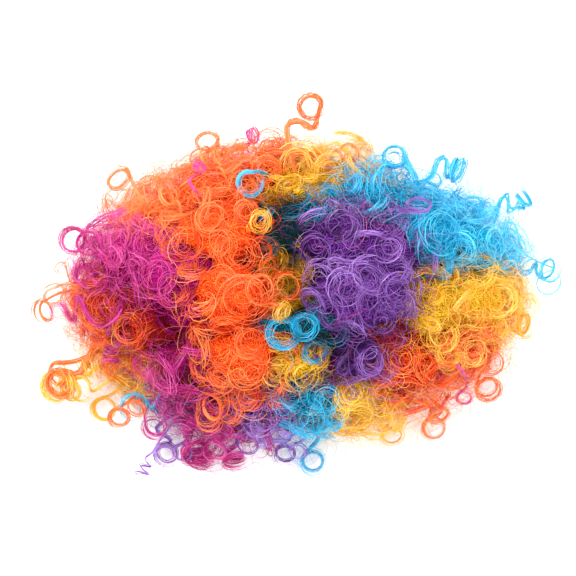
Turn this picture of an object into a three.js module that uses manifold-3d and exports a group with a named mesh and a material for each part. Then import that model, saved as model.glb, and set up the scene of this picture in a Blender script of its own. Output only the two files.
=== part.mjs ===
// A curly clown wig that lies on a table with its opening down.
// Millimetres, +Z up. The origin is the centre of the opening, at the level of the table.
// +X runs along the wig's long way, +Y towards the side with the upright orange curl.
//
// A stretch cap is hemmed with an elastic band, and locks of curled fibre are sewn to it in
// patches of one colour. Each patch is one solid: rounded tufts that sit on the cap, with
// ringlets and loose curls fused to them. Seams between patches run out from the dome's centre.
import * as THREE from "three";
import { mergeVertices } from "three/addons/utils/BufferGeometryUtils.js";
import Module from "manifold-3d";

const wasm = await Module();
wasm.setup();

// Cap and band: an oval dome that a head goes into
const capHalfLength = 98;
const capHalfWidth = 68;
const capRise = 72;
const capWall = 2;
const bandHeight = 16;
const bandWall = 2.6;
const bandGap = 0.3;

// Hair: how far the tufts stand out from the cap at its ends, its sides and its top
const hairAtEnds = 60;
const hairAtSides = 40;
const hairOnTop = 48;
const capToHairGap = 0.4;
const seamGap = 0.5;

// Curls: a ringlet is a lock wound into a coil, a loose curl is a lock that leaves its tuft
const ringletRadius = 8;
const ringletThickness = 5;
const ringletPitch = 5.8;
const ringletTurns = 1.1;
const looseThickness = 4;
const loosePitch = 4.8;

// How finely round shapes are faceted
const domeSides = 24;
const domeRows = 5;
const lockSides = 4;
const stepsPerTurn = 8;

const fibre = { roughness: 0.55, metalness: 0 };
const knit = { roughness: 0.9, metalness: 0 };
const colours = {
  orange: 0xff6a1c,
  magenta: 0xc4189c,
  yellow: 0xffc02a,
  blue: 0x1fb0ea,
  purple: 0x7b3fb4,
  cap: 0x2b2430,
  band: 0x1c1a1f,
};

// The oval that the tops of the tufts reach
const hairReach = new THREE.Vector3(
  capHalfLength + hairAtEnds,
  capHalfWidth + hairAtSides,
  capRise + hairOnTop,
);

// Tufts: where each one stands in plan, as shares east and north of the hair's reach, its radius
// and its height as shares of that reach, and how many ringlets it carries.
// Curls: the tuft that each leaves, where its coil's middle is in plan and in height as shares of
// the reach, the coil's radius beside a ringlet's, its turns, and how far its axis leans from
// upright, in degrees, towards a bearing counted from +X.
const patches = [
  {
    name: "hair_orange_crown",
    colour: "orange",
    tufts: [
      { east: -0.31, north: 0.42, radius: 0.33, lift: 1.0, ringlets: 3 },
      { east: -0.26, north: -0.03, radius: 0.34, lift: 1.02, ringlets: 3 },
      { east: -0.2, north: -0.46, radius: 0.3, lift: 1.0, ringlets: 2 },
    ],
    curls: [],
  },
  {
    name: "hair_purple_crown",
    colour: "purple",
    tufts: [
      { east: 0.2, north: 0.35, radius: 0.3, lift: 1.0, ringlets: 1 },
      { east: 0.41, north: 0.29, radius: 0.28, lift: 1.0, ringlets: 1 },
      { east: 0.28, north: -0.06, radius: 0.35, lift: 1.05, ringlets: 3 },
      { east: 0.3, north: -0.44, radius: 0.25, lift: 0.98, ringlets: 1 },
    ],
    curls: [],
  },
  {
    name: "hair_blue_parting",
    colour: "blue",
    tufts: [
      { east: -0.05, north: 0.47, radius: 0.22, lift: 0.78, ringlets: 0 },
      { east: 0.09, north: 0.6, radius: 0.22, lift: 0.86, ringlets: 1 },
    ],
    curls: [],
  },
  {
    name: "hair_yellow_parting",
    colour: "yellow",
    tufts: [
      { east: -0.03, north: 0.2, radius: 0.2, lift: 0.76, ringlets: 0 },
      { east: -0.03, north: -0.12, radius: 0.2, lift: 0.82, ringlets: 0 },
    ],
    curls: [],
  },
  {
    name: "hair_yellow_centre",
    colour: "yellow",
    tufts: [{ east: 0.02, north: -0.5, radius: 0.22, lift: 0.93, ringlets: 1 }],
    curls: [],
  },
  {
    name: "hair_blue_centre",
    colour: "blue",
    tufts: [{ east: 0.07, north: -0.25, radius: 0.22, lift: 0.92, ringlets: 1 }],
    curls: [],
  },
  {
    name: "hair_orange_back",
    colour: "orange",
    tufts: [
      { east: -0.68, north: 0.62, radius: 0.26, lift: 0.97, ringlets: 1 },
      { east: -0.4, north: 0.76, radius: 0.28, lift: 1.0, ringlets: 2 },
      { east: -0.11, north: 0.9, radius: 0.25, lift: 0.98, ringlets: 0 },
    ],
    curls: [
      { tuft: 2, east: 0.08, north: 1.13, height: 0.42, size: 1.0, turns: 1.6, lean: 20, bearing: -90 },
      { tuft: 1, east: -0.36, north: 0.93, height: 0.3, size: 0.95, turns: 1.3, lean: 30, bearing: 110 },
      { tuft: 0, east: -0.74, north: 0.7, height: 0.24, size: 1.0, turns: 1.3, lean: 40, bearing: 130 },
    ],
  },
  {
    name: "hair_yellow_back",
    colour: "yellow",
    tufts: [
      { east: 0.03, north: 0.79, radius: 0.24, lift: 0.94, ringlets: 1 },
      { east: 0.24, north: 0.9, radius: 0.25, lift: 0.95, ringlets: 0 },
    ],
    curls: [],
  },
  {
    name: "hair_blue_right",
    colour: "blue",
    tufts: [
      { east: 0.4, north: 0.7, radius: 0.28, lift: 1.0, ringlets: 2 },
      { east: 0.66, north: 0.42, radius: 0.32, lift: 1.04, ringlets: 2 },
      { east: 0.89, north: 0.33, radius: 0.28, lift: 1.05, ringlets: 1 },
    ],
    curls: [
      { tuft: 2, east: 1.09, north: 0.13, height: 0.2, size: 0.9, turns: 1.6, lean: 40, bearing: 340 },
      { tuft: 2, east: 0.98, north: 0.56, height: 0.3, size: 0.8, turns: 1.8, lean: 75, bearing: 40 },
      { tuft: 1, east: 0.69, north: 0.74, height: 0.4, size: 0.95, turns: 2.2, lean: 70, bearing: -20 },
      { tuft: 0, east: 0.43, north: 0.82, height: 0.5, size: 0.95, turns: 1.4, lean: 15, bearing: 90 },
    ],
  },
  {
    name: "hair_yellow_right",
    colour: "yellow",
    tufts: [
      { east: 0.67, north: -0.14, radius: 0.28, lift: 0.98, ringlets: 1 },
      { east: 0.9, north: -0.06, radius: 0.3, lift: 1.05, ringlets: 1 },
    ],
    curls: [
      { tuft: 1, east: 0.99, north: -0.22, height: 0.2, size: 0.9, turns: 1.3, lean: 50, bearing: 350 },
    ],
  },
  {
    name: "hair_orange_right",
    colour: "orange",
    tufts: [
      { east: 0.48, north: -0.38, radius: 0.22, lift: 0.9, ringlets: 0 },
      { east: 0.56, north: -0.6, radius: 0.3, lift: 1.02, ringlets: 1 },
      { east: 0.8, north: -0.42, radius: 0.28, lift: 1.02, ringlets: 1 },
    ],
    curls: [
      { tuft: 1, east: 0.61, north: -0.87, height: 0.12, size: 0.95, turns: 1.4, lean: 10, bearing: 300 },
      { tuft: 2, east: 0.84, north: -0.62, height: 0.14, size: 1.0, turns: 2.0, lean: 25, bearing: 300 },
    ],
  },
  {
    name: "hair_yellow_front",
    colour: "yellow",
    tufts: [{ east: 0.31, north: -0.8, radius: 0.3, lift: 1.02, ringlets: 1 }],
    curls: [
      { tuft: 0, east: 0.43, north: -0.92, height: 0.12, size: 0.9, turns: 1.3, lean: 30, bearing: 290 },
    ],
  },
  {
    name: "hair_blue_front",
    colour: "blue",
    tufts: [{ east: 0.08, north: -0.83, radius: 0.26, lift: 1.01, ringlets: 1 }],
    curls: [
      { tuft: 0, east: 0.09, north: -1.08, height: 0.12, size: 1.0, turns: 1.5, lean: 15, bearing: 280 },
    ],
  },
  {
    name: "hair_purple_front",
    colour: "purple",
    tufts: [{ east: -0.13, north: -0.85, radius: 0.27, lift: 0.97, ringlets: 0 }],
    curls: [
      { tuft: 0, east: -0.03, north: -1.03, height: 0.12, size: 0.85, turns: 1.3, lean: 30, bearing: 270 },
    ],
  },
  {
    name: "hair_magenta_front",
    colour: "magenta",
    tufts: [
      { east: -0.51, north: -0.56, radius: 0.27, lift: 1.0, ringlets: 1 },
      { east: -0.38, north: -0.86, radius: 0.28, lift: 1.02, ringlets: 1 },
    ],
    curls: [
      { tuft: 1, east: -0.4, north: -1.05, height: 0.16, size: 0.95, turns: 1.8, lean: 55, bearing: 265 },
      { tuft: 1, east: -0.25, north: -1.06, height: 0.14, size: 0.8, turns: 1.6, lean: 60, bearing: 280 },
    ],
  },
  {
    name: "hair_purple_side",
    colour: "purple",
    tufts: [{ east: -0.57, north: -0.84, radius: 0.22, lift: 0.93, ringlets: 0 }],
    curls: [
      { tuft: 0, east: -0.54, north: -1.03, height: 0.12, size: 0.9, turns: 1.5, lean: 20, bearing: 250 },
    ],
  },
  {
    name: "hair_yellow_left",
    colour: "yellow",
    tufts: [{ east: -0.8, north: -0.56, radius: 0.26, lift: 0.97, ringlets: 0 }],
    curls: [
      { tuft: 0, east: -1.01, north: -0.6, height: 0.13, size: 1.1, turns: 1.8, lean: 30, bearing: 210 },
      { tuft: 0, east: -0.81, north: -0.75, height: 0.1, size: 0.95, turns: 1.4, lean: 10, bearing: 240 },
    ],
  },
  {
    name: "hair_orange_left",
    colour: "orange",
    tufts: [
      { east: -0.95, north: -0.1, radius: 0.26, lift: 0.98, ringlets: 0 },
      { east: -0.76, north: -0.28, radius: 0.28, lift: 0.98, ringlets: 1 },
    ],
    curls: [
      { tuft: 0, east: -1.06, north: -0.13, height: 0.18, size: 0.85, turns: 1.5, lean: 40, bearing: 200 },
    ],
  },
  {
    name: "hair_magenta_left",
    colour: "magenta",
    tufts: [
      { east: -0.84, north: 0.25, radius: 0.28, lift: 1.0, ringlets: 1 },
      { east: -0.58, north: 0.11, radius: 0.28, lift: 0.96, ringlets: 2 },
      { east: -0.55, north: -0.2, radius: 0.23, lift: 0.86, ringlets: 0 },
    ],
    curls: [
      { tuft: 0, east: -0.93, north: 0.31, height: 0.3, size: 1.1, turns: 1.6, lean: 15, bearing: 170 },
    ],
  },
];

// A closed three.js geometry as a solid that joins and cuts with others.
function solidOf(geometry) {
  const bare = geometry.index ? geometry.toNonIndexed() : geometry.clone();
  bare.deleteAttribute("normal");
  bare.deleteAttribute("uv");
  const merged = mergeVertices(bare, 1e-4);
  return new wasm.Manifold(
    new wasm.Mesh({
      numProp: 3,
      vertProperties: merged.attributes.position.array,
      triVerts: new Uint32Array(merged.index.array),
    }),
  );
}

// A solid as a named mesh in one colour and finish.
function meshOf(solid, name, colour, finish) {
  const { vertProperties, triVerts } = solid.getMesh();
  const geometry = new THREE.BufferGeometry()
    .setAttribute("position", new THREE.BufferAttribute(vertProperties, 3))
    .setIndex(new THREE.BufferAttribute(triVerts, 1));
  geometry.computeVertexNormals();
  const mesh = new THREE.Mesh(geometry, new THREE.MeshStandardMaterial({ color: colour, ...finish }));
  mesh.name = name;
  return mesh;
}

// The cap's outer form, grown by some millimetres: upright round the band, then a dome.
// Its foot goes below the table by what is asked.
function capForm(grown, below) {
  const fullness = 2.3;
  const foot = bandHeight / capRise;
  const profile = [new THREE.Vector2(0, -below / capRise), new THREE.Vector2(1, -below / capRise)];
  for (let row = 0; row < domeRows; row++) {
    const angle = (row / domeRows) * (Math.PI / 2);
    profile.push(
      new THREE.Vector2(
        Math.cos(angle) ** (2 / fullness),
        foot + (1 - foot) * Math.sin(angle) ** (2 / fullness),
      ),
    );
  }
  profile.push(new THREE.Vector2(0, 1));
  const form = new THREE.LatheGeometry(profile, domeSides).rotateX(Math.PI / 2);
  return solidOf(form.scale(capHalfLength + grown, capHalfWidth + grown, capRise + grown));
}

// The stretch cap above its elastic band
function makeCap() {
  const belowTable = 1;
  const hollow = capForm(-capWall, belowTable);
  return capForm(0, belowTable).subtract(hollow).trimByPlane([0, 0, 1], bandHeight + bandGap);
}

// The elastic band that hems the cap and stands on the table
function makeBand() {
  const belowTable = 1;
  const hollow = capForm(-bandWall, belowTable);
  return capForm(0, belowTable)
    .subtract(hollow)
    .trimByPlane([0, 0, 1], 0)
    .trimByPlane([0, 0, -1], -bandHeight);
}

// Where a tuft stands: its direction from the dome's centre, with the reach scaled to 1, and how
// far out its top lies along that direction.
function tuftPlace(tuft) {
  const lowest = 0.2;
  const inPlan = tuft.east ** 2 + tuft.north ** 2;
  const out = new THREE.Vector3(tuft.east, tuft.north, Math.sqrt(Math.max(lowest ** 2, 1 - inPlan)));
  return { direction: out.clone().normalize(), top: out.length() * tuft.lift };
}

// A tuft's oval: its middle and its half sizes. A tuft at the rim, from this share of the reach
// outward, is drawn down until it lies on the table, and its oval goes this share below it.
function tuftOval(tuft) {
  const rimFrom = 0.72;
  const belowTable = 0.1;
  const { direction, top } = tuftPlace(tuft);
  const middle = direction.clone().multiplyScalar(top - tuft.radius);
  const half = new THREE.Vector3(tuft.radius, tuft.radius, tuft.radius);
  if (Math.hypot(tuft.east, tuft.north) > rimFrom) {
    const upper = middle.z + tuft.radius;
    half.z = (upper + belowTable) / 2;
    middle.z = (upper - belowTable) / 2;
  }
  return { direction, middle: middle.multiply(hairReach), half: half.multiply(hairReach) };
}

// A lock's thickness swept along a curve.
function sweep(curve, thickness, steps) {
  const outline = new THREE.Shape();
  for (let side = 0; side < lockSides; side++) {
    const angle = (side / lockSides) * 2 * Math.PI;
    const x = (Math.cos(angle) * thickness) / 2;
    const y = (Math.sin(angle) * thickness) / 2;
    if (side === 0) outline.moveTo(x, y);
    else outline.lineTo(x, y);
  }
  const swept = new THREE.ExtrudeGeometry(outline, { steps, extrudePath: curve, bevelEnabled: false });
  return solidOf(swept);
}

// Two directions square to an axis and to each other.
function across(axis) {
  const helper = Math.abs(axis.z) < 0.9 ? new THREE.Vector3(0, 0, 1) : new THREE.Vector3(1, 0, 0);
  const first = new THREE.Vector3().crossVectors(helper, axis).normalize();
  return [first, new THREE.Vector3().crossVectors(axis, first)];
}

// Points on a coil that climbs along its axis from its foot.
function coilPoints(foot, axis, radius, turns, pitch, startAngle) {
  const [first, second] = across(axis);
  const count = Math.ceil(turns * stepsPerTurn);
  return Array.from({ length: count + 1 }, (_, i) => {
    const turn = (i / count) * turns;
    const angle = startAngle + turn * 2 * Math.PI;
    return foot
      .clone()
      .addScaledVector(axis, turn * pitch)
      .addScaledVector(first, Math.cos(angle) * radius)
      .addScaledVector(second, Math.sin(angle) * radius);
  });
}

// How far a point is from the nearest seam round a tuft's patch.
function clearOfSeams(point, seams) {
  return Math.min(...seams.map((normal) => normal.dot(point)));
}

// A ringlet: a short coil that stands out of its tuft, the first half turn sunk in it. The
// ringlets of a tuft are spread over its top by the golden angle, and one that would cross a
// seam is drawn in towards the tuft's middle until it is clear.
function makeRinglet(tuft, index, seams) {
  const goldenAngle = Math.PI * (3 - Math.sqrt(5));
  const widestSpread = 1.0;
  const drawnIn = 0.05;
  const sunk = ringletPitch * 0.5;
  const room = ringletRadius + ringletThickness / 2 + seamGap;
  const { direction, middle, half } = tuftOval(tuft);
  const [first, second] = across(direction);
  const turn = index * goldenAngle;
  let spread = widestSpread * Math.sqrt(index / Math.max(1, tuft.ringlets));
  let onTuft;
  let outward;
  do {
    outward = direction
      .clone()
      .addScaledVector(first, Math.cos(turn) * spread)
      .addScaledVector(second, Math.sin(turn) * spread)
      .normalize();
    onTuft = outward.clone().multiply(half).add(middle);
    spread -= drawnIn;
  } while (spread > 0 && clearOfSeams(onTuft, seams) < room);
  const axis = outward.clone().divide(half).normalize();
  const foot = onTuft.addScaledVector(axis, -sunk);
  const points = coilPoints(foot, axis, ringletRadius, ringletTurns, ringletPitch, turn);
  return sweep(new THREE.CatmullRomCurve3(points), ringletThickness, points.length - 1);
}

// A loose curl: a stem that leaves the middle of its tuft and winds into a coil. Grown by some
// millimetres, it is the room that other patches leave for it.
function makeLooseCurl(patch, curl, grown) {
  const radius = ringletRadius * curl.size;
  const lean = THREE.MathUtils.degToRad(curl.lean);
  const bearing = THREE.MathUtils.degToRad(curl.bearing);
  const axis = new THREE.Vector3(
    Math.sin(lean) * Math.cos(bearing),
    Math.sin(lean) * Math.sin(bearing),
    Math.cos(lean),
  );
  const root = tuftOval(patch.tufts[curl.tuft]).middle;
  const middle = new THREE.Vector3(curl.east, curl.north, curl.height).multiply(hairReach);
  const foot = middle.clone().addScaledVector(axis, (-curl.turns * loosePitch) / 2);
  const [first, second] = across(axis);
  const toRoot = root.clone().sub(middle);
  const startAngle = Math.atan2(toRoot.dot(second), toRoot.dot(first)) - Math.PI / 3;
  const coil = coilPoints(foot, axis, radius, curl.turns, loosePitch, startAngle);
  const points = [root, root.clone().lerp(coil[0], 0.6), ...coil];
  return sweep(new THREE.CatmullRomCurve3(points), looseThickness + 2 * grown, points.length);
}

// The seams round a tuft, as the directions square to them: each is a flat cut through the dome's
// centre, half way between this tuft and a tuft of another patch.
function seamsOf(tuft, patch) {
  const own = tuftPlace(tuft).direction;
  return patches
    .filter((other) => other !== patch)
    .flatMap((other) => other.tufts)
    .map((other) => own.clone().sub(tuftPlace(other).direction).divide(hairReach).normalize());
}

// A tuft: a rounded tussock with its ringlets, cut back from each seam by half the seam's gap
function makeTuft(tuft, patch) {
  const seams = seamsOf(tuft, patch);
  const { middle, half } = tuftOval(tuft);
  const tussock = new THREE.IcosahedronGeometry(1, 1)
    .scale(half.x, half.y, half.z)
    .translate(middle.x, middle.y, middle.z);
  let made = solidOf(tussock);
  for (let i = 0; i < tuft.ringlets; i++) made = made.add(makeRinglet(tuft, i, seams));
  return seams.reduce((kept, normal) => kept.trimByPlane(normal.toArray(), seamGap / 2), made);
}

// A patch of hair in one colour, sewn on outside the cap and lying on the table. It leaves room
// for the loose curls of other patches, and carries its own whole.
function makePatch(patch, capSpace) {
  const joined = patch.tufts.map((tuft) => makeTuft(tuft, patch)).reduce((all, tuft) => all.add(tuft));
  const withRoom = patches
    .filter((other) => other !== patch)
    .flatMap((other) => other.curls.map((curl) => makeLooseCurl(other, curl, seamGap)))
    .reduce((left, room) => left.subtract(room), joined);
  return patch.curls
    .reduce((all, curl) => all.add(makeLooseCurl(patch, curl, 0)), withRoom)
    .subtract(capSpace)
    .trimByPlane([0, 0, 1], 0);
}

const wig = new THREE.Group();
wig.add(meshOf(makeCap(), "cap", colours.cap, knit));
wig.add(meshOf(makeBand(), "elastic_band", colours.band, knit));
const belowHair = 200;
const capSpace = capForm(capToHairGap, belowHair);
for (const patch of patches)
  wig.add(meshOf(makePatch(patch, capSpace), patch.name, colours[patch.colour], fibre));

export default wig;
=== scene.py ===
import bpy
import numpy as np
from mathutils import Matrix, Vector


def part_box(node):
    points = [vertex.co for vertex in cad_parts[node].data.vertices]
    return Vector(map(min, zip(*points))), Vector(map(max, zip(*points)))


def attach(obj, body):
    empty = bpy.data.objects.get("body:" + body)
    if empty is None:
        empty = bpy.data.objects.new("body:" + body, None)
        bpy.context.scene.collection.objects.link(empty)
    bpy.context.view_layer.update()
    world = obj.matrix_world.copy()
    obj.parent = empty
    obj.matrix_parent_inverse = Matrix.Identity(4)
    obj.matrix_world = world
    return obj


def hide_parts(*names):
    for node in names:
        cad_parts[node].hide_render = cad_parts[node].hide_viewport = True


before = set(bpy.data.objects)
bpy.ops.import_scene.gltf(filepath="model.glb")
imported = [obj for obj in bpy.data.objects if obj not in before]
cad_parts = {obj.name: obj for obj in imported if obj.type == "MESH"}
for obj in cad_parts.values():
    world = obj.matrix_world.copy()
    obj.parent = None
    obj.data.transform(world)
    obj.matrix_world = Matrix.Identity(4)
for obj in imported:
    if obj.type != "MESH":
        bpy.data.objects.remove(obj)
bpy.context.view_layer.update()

# Cap
# The stretch cap that the hair is sewn to: a knitted polyester net, dark and matt, with the rows
# of stitching that hold the wefts of hair showing as ridges on the inside.
mm = 0.001
# The cap's box is centred on the origin: its top corner is half its size each way, and its height.
cap_low, cap_half = (np.array(corner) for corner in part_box("cap"))
cap_foot = cap_low[2]
cap_wall = 2 * mm
cap_fullness = 2.3
cap_rows, cap_columns = 34, 84
weft_rows = 7
weft_height = 0.5 * mm
# Ribs of the knit, their width and how uneven they are. Real ones are about 1 mm wide, and these are
# coarser so that they show.
knit_bands = [("Z", 5.655 * mm, 1.5), ("DIAGONAL", 7.351 * mm, 1.0)]
knit_yarn = ("#17131b", "#443a4c")



def linear(hex_colour):
    """A colour written as sRGB hex, as linear red, green, blue and a full alpha."""
    srgb = np.array([int(hex_colour[i : i + 2], 16) for i in (1, 3, 5)]) / 255
    rgb = np.where(srgb <= 0.04045, srgb / 12.92, ((srgb + 0.055) / 1.055) ** 2.4)
    return (*rgb, 1.0)


def node(tree, kind, settings=(), inputs=()):
    """One shader node: settings are its attributes, and an input is a value or another output."""
    made = tree.nodes.new(kind)
    for name, value in dict(settings).items():
        setattr(made, name, value)
    for socket, value in dict(inputs).items():
        if isinstance(value, bpy.types.NodeSocket):
            tree.links.new(value, made.inputs[socket])
        else:
            made.inputs[socket].default_value = value
    return made


def new_material(name):
    """An empty material, its node tree, and the place on the piece that its patterns follow."""
    material = bpy.data.materials.new(name)
    material.use_nodes = True
    material.node_tree.nodes.clear()
    return material, material.node_tree, node(material.node_tree, "ShaderNodeTexCoord").outputs["Object"]


def make_piece(name, vertices, faces, material, smooth, marks=()):
    """A mesh from whole arrays: faces is a list of index arrays, one row per face, and marks are
    named numbers at each vertex that the material reads."""
    mesh = bpy.data.meshes.new(name)
    mesh.vertices.add(len(vertices))
    mesh.vertices.foreach_set("co", vertices.astype(np.float32).ravel())
    corners = np.concatenate([f.ravel() for f in faces])
    counts = np.concatenate([np.full(len(f), f.shape[1]) for f in faces])
    mesh.loops.add(len(corners))
    mesh.loops.foreach_set("vertex_index", corners.astype(np.int32))
    mesh.polygons.add(len(counts))
    mesh.polygons.foreach_set("loop_start", (np.cumsum(counts) - counts).astype(np.int32))
    mesh.polygons.foreach_set("use_smooth", np.full(len(counts), smooth))
    for mark, values in dict(marks).items():
        mesh.attributes.new(mark, "FLOAT", "POINT").data.foreach_set("value", values.astype(np.float32))
    mesh.update(calc_edges=True)
    mesh.materials.append(material)
    piece = bpy.data.objects.new(name, mesh)
    bpy.context.scene.collection.objects.link(piece)
    return piece


def closed_shell(outer, inner, domed):
    """Faces of a wall from two grids of points, each with rows from the foot up and columns right
    round: the outer faces, the inner ones turned about, and what closes the foot and the top
    edge. A domed wall has its outer and inner sides closed at the top by a face each."""
    rows, columns = outer.shape[:2]
    index = np.arange(rows * columns).reshape(rows, columns)
    right = np.roll(index, -1, axis=1)
    offset = rows * columns
    outside = np.stack([index[:-1], right[:-1], right[1:], index[1:]], axis=-1).reshape(-1, 4)
    inside = outside[:, ::-1] + offset
    foot = np.stack([index[0], index[0] + offset, right[0] + offset, right[0]], axis=-1)
    if domed:
        top = [index[-1:], index[-1:, ::-1] + offset]
    else:
        top = [np.stack([index[-1], right[-1], right[-1] + offset, index[-1] + offset], axis=-1)]
    return np.concatenate([outer.reshape(-1, 3), inner.reshape(-1, 3)]), [outside, inside, foot, *top]


def cap_surface(climb, around, grown):
    """A point on the cap: an oval that closes as a dome, whose width and height follow a rounded
    curve a little fuller than a circle. The climb runs from 0 at the foot to 1 at the crown."""
    half = cap_half + grown
    level = np.sin(climb * np.pi / 2) ** (2 / cap_fullness)
    width = np.cos(climb * np.pi / 2) ** (2 / cap_fullness)
    height = cap_foot + (half[2] - cap_foot) * level + 0 * around
    return np.stack([half[0] * width * np.cos(around), half[1] * width * np.sin(around), height], axis=-1)


def woven_finish(name, bands, yarn, relief_depth, relief_strength, roughness, sheen):
    """Yarn in crossing bands of threads, which stand out and run from a dark colour to a light one.
    A wave texture turns by 20 radians a metre at scale 1, so its scale is 2 pi over 20 widths."""
    material, tree, place = new_material(name)
    height = 1.0
    for direction, width, uneven in bands:
        threads = node(tree, "ShaderNodeTexWave", {"bands_direction": direction}, {
            "Vector": place, "Scale": 2 * np.pi / (20 * width), "Distortion": uneven, "Detail": 1.0})
        height = node(tree, "ShaderNodeMath", {"operation": "MULTIPLY"}, {
            0: height, 1: threads.outputs["Fac"]}).outputs[0]
    colour = node(tree, "ShaderNodeValToRGB", inputs={"Fac": height})
    for stop, shade_of_yarn in zip(colour.color_ramp.elements, yarn):
        stop.color = linear(shade_of_yarn)
    relief = node(tree, "ShaderNodeBump", inputs={
        "Height": height, "Strength": relief_strength, "Distance": relief_depth})
    cloth = node(tree, "ShaderNodeBsdfPrincipled", inputs={
        "Base Color": colour.outputs["Color"], "Normal": relief.outputs["Normal"],
        "Roughness": roughness, "Sheen Weight": sheen})
    node(tree, "ShaderNodeOutputMaterial", inputs={"Surface": cloth.outputs["BSDF"]})
    return material


# Knitted polyester is matt, with a soft sheen where it turns away.
cap_knit = woven_finish("knitted_polyester_net", knit_bands, knit_yarn, 0.4 * mm, 0.6, 0.9, 0.3)
around = np.linspace(0, 2 * np.pi, cap_columns, endpoint=False)[None, :]
climb = np.linspace(0, 0.99, cap_rows)[:, None]
weft = weft_height * np.maximum(0, np.sin(climb * weft_rows * 2 * np.pi)) ** 2
cap_outer = cap_surface(climb, around, 0.0)
cap_inner = cap_surface(climb, around, -cap_wall)
cap_inner[..., :2] = cap_inner[..., :2] * (1 - weft / cap_half[1])[..., None]
cap = make_piece("cap_knit", *closed_shell(cap_outer, cap_inner, True), cap_knit, True)
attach(cap, "root")
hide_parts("cap")

# Elastic band
# The woven elastic that hems the cap and grips the head: flat ribbed tape, dark and matt,
# gathered a little because it is sewn on stretched.
band_low, band_high = (np.array(corner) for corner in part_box("elastic_band"))
band_wall = 2.6 * mm
band_rows, band_columns = 6, 600
band_ribs = 150
rib_depth = 0.25 * mm
gathers = 26
gather_depth = 0.35 * mm
tape_bands = [("Z", 5.236 * mm, 0.4)]
tape_yarn = ("#121014", "#2c2830")

# Woven elastic is smoother than the knit, so it shines a little.
elastic = woven_finish("woven_elastic_tape", tape_bands, tape_yarn, 0.3 * mm, 0.5, 0.8, 0.2)
around = np.linspace(0, 2 * np.pi, band_columns, endpoint=False)[None, :]
climb = np.linspace(0, 1, band_rows)[:, None]
height = (band_low[2] + (band_high[2] - band_low[2]) * climb + 0 * around)[..., None]
ribs = rib_depth * (np.cos(around * band_ribs) - 1) / 2 * np.sin(np.pi * climb) ** 0.5
puckers = gather_depth * (np.cos(around * gathers) - 1) / 2 * np.sin(np.pi * climb)
relief = (ribs + puckers)[..., None]
oval = np.stack([np.cos(around + 0 * climb), np.sin(around + 0 * climb)], axis=-1)
band_outer = np.concatenate([oval * (band_high[:2] + relief), height], axis=-1)
band_inner = np.concatenate([oval * (band_high[:2] - band_wall - relief), height], axis=-1)
band = make_piece("elastic_tape", *closed_shell(band_outer, band_inner, False), elastic, True)
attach(band, "root")
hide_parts("elastic_band")

# Hair patches: the under-hair
# Locks of curled polypropylene fibre, dyed in five colours and sewn to the cap in patches. Deep
# down they felt into soft tussocks, which are these rounded bodies, with painted shade that makes
# them darker than the curls on them.
hair_reach = cap_half + np.array([60, 40, 48]) * mm
seam_gap = 0.5 * mm
cap_clearance = 0.4 * mm
under_hair_sunk = 6 * mm
under_hair_sunk_at_rim = 5 * mm
under_hair_foot = 2.2 * mm
tuft_rows, tuft_columns = 16, 26
tuft_relief = 1.6 * mm
tuft_lump = 22 * mm
tuft_lowest = 0.2
rim_from = 0.72
rim_below_table = 0.1
# A patch is named for its dye and its place. The columns of its tufts: east, north and radius, as
# shares of the hair's reach, and lift.
patches = {
    "orange_crown": [
        (-0.31, 0.42, 0.33, 1.0), (-0.26, -0.03, 0.34, 1.02), (-0.2, -0.46, 0.3, 1.0)],
    "purple_crown": [
        (0.2, 0.35, 0.3, 1.0), (0.41, 0.29, 0.28, 1.0), (0.28, -0.06, 0.35, 1.05),
        (0.3, -0.44, 0.25, 0.98)],
    "blue_parting": [(-0.05, 0.47, 0.22, 0.78), (0.09, 0.6, 0.22, 0.86)],
    "yellow_parting": [(-0.03, 0.2, 0.2, 0.76), (-0.03, -0.12, 0.2, 0.82)],
    "yellow_centre": [(0.02, -0.5, 0.22, 0.93)],
    "blue_centre": [(0.07, -0.25, 0.22, 0.92)],
    "orange_back": [
        (-0.68, 0.62, 0.26, 0.97), (-0.4, 0.76, 0.28, 1.0), (-0.11, 0.9, 0.25, 0.98)],
    "yellow_back": [(0.03, 0.79, 0.24, 0.94), (0.24, 0.9, 0.25, 0.95)],
    "blue_right": [
        (0.4, 0.7, 0.28, 1.0), (0.66, 0.42, 0.32, 1.04), (0.89, 0.33, 0.28, 1.05)],
    "yellow_right": [(0.67, -0.14, 0.28, 0.98), (0.9, -0.06, 0.3, 1.05)],
    "orange_right": [
        (0.48, -0.38, 0.22, 0.9), (0.56, -0.6, 0.3, 1.02), (0.8, -0.42, 0.28, 1.02)],
    "yellow_front": [(0.31, -0.8, 0.3, 1.02)],
    "blue_front": [(0.08, -0.83, 0.26, 1.01)],
    "purple_front": [(-0.13, -0.85, 0.27, 0.97)],
    "magenta_front": [(-0.51, -0.56, 0.27, 1.0), (-0.38, -0.86, 0.28, 1.02)],
    "purple_side": [(-0.57, -0.84, 0.22, 0.93)],
    "yellow_left": [(-0.8, -0.56, 0.26, 0.97)],
    "orange_left": [(-0.95, -0.1, 0.26, 0.98), (-0.76, -0.28, 0.28, 0.98)],
    "magenta_left": [
        (-0.84, 0.25, 0.28, 1.0), (-0.58, 0.11, 0.28, 0.96), (-0.55, -0.2, 0.23, 0.86)],
}
patch_names = list(patches)
tufts = np.array([row for rows in patches.values() for row in rows])
tuft_patch = np.repeat(np.arange(len(patches)), [len(rows) for rows in patches.values()])


def unit(vectors):
    """The same directions with length 1."""
    return vectors / np.linalg.norm(vectors, axis=-1, keepdims=True)


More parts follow.
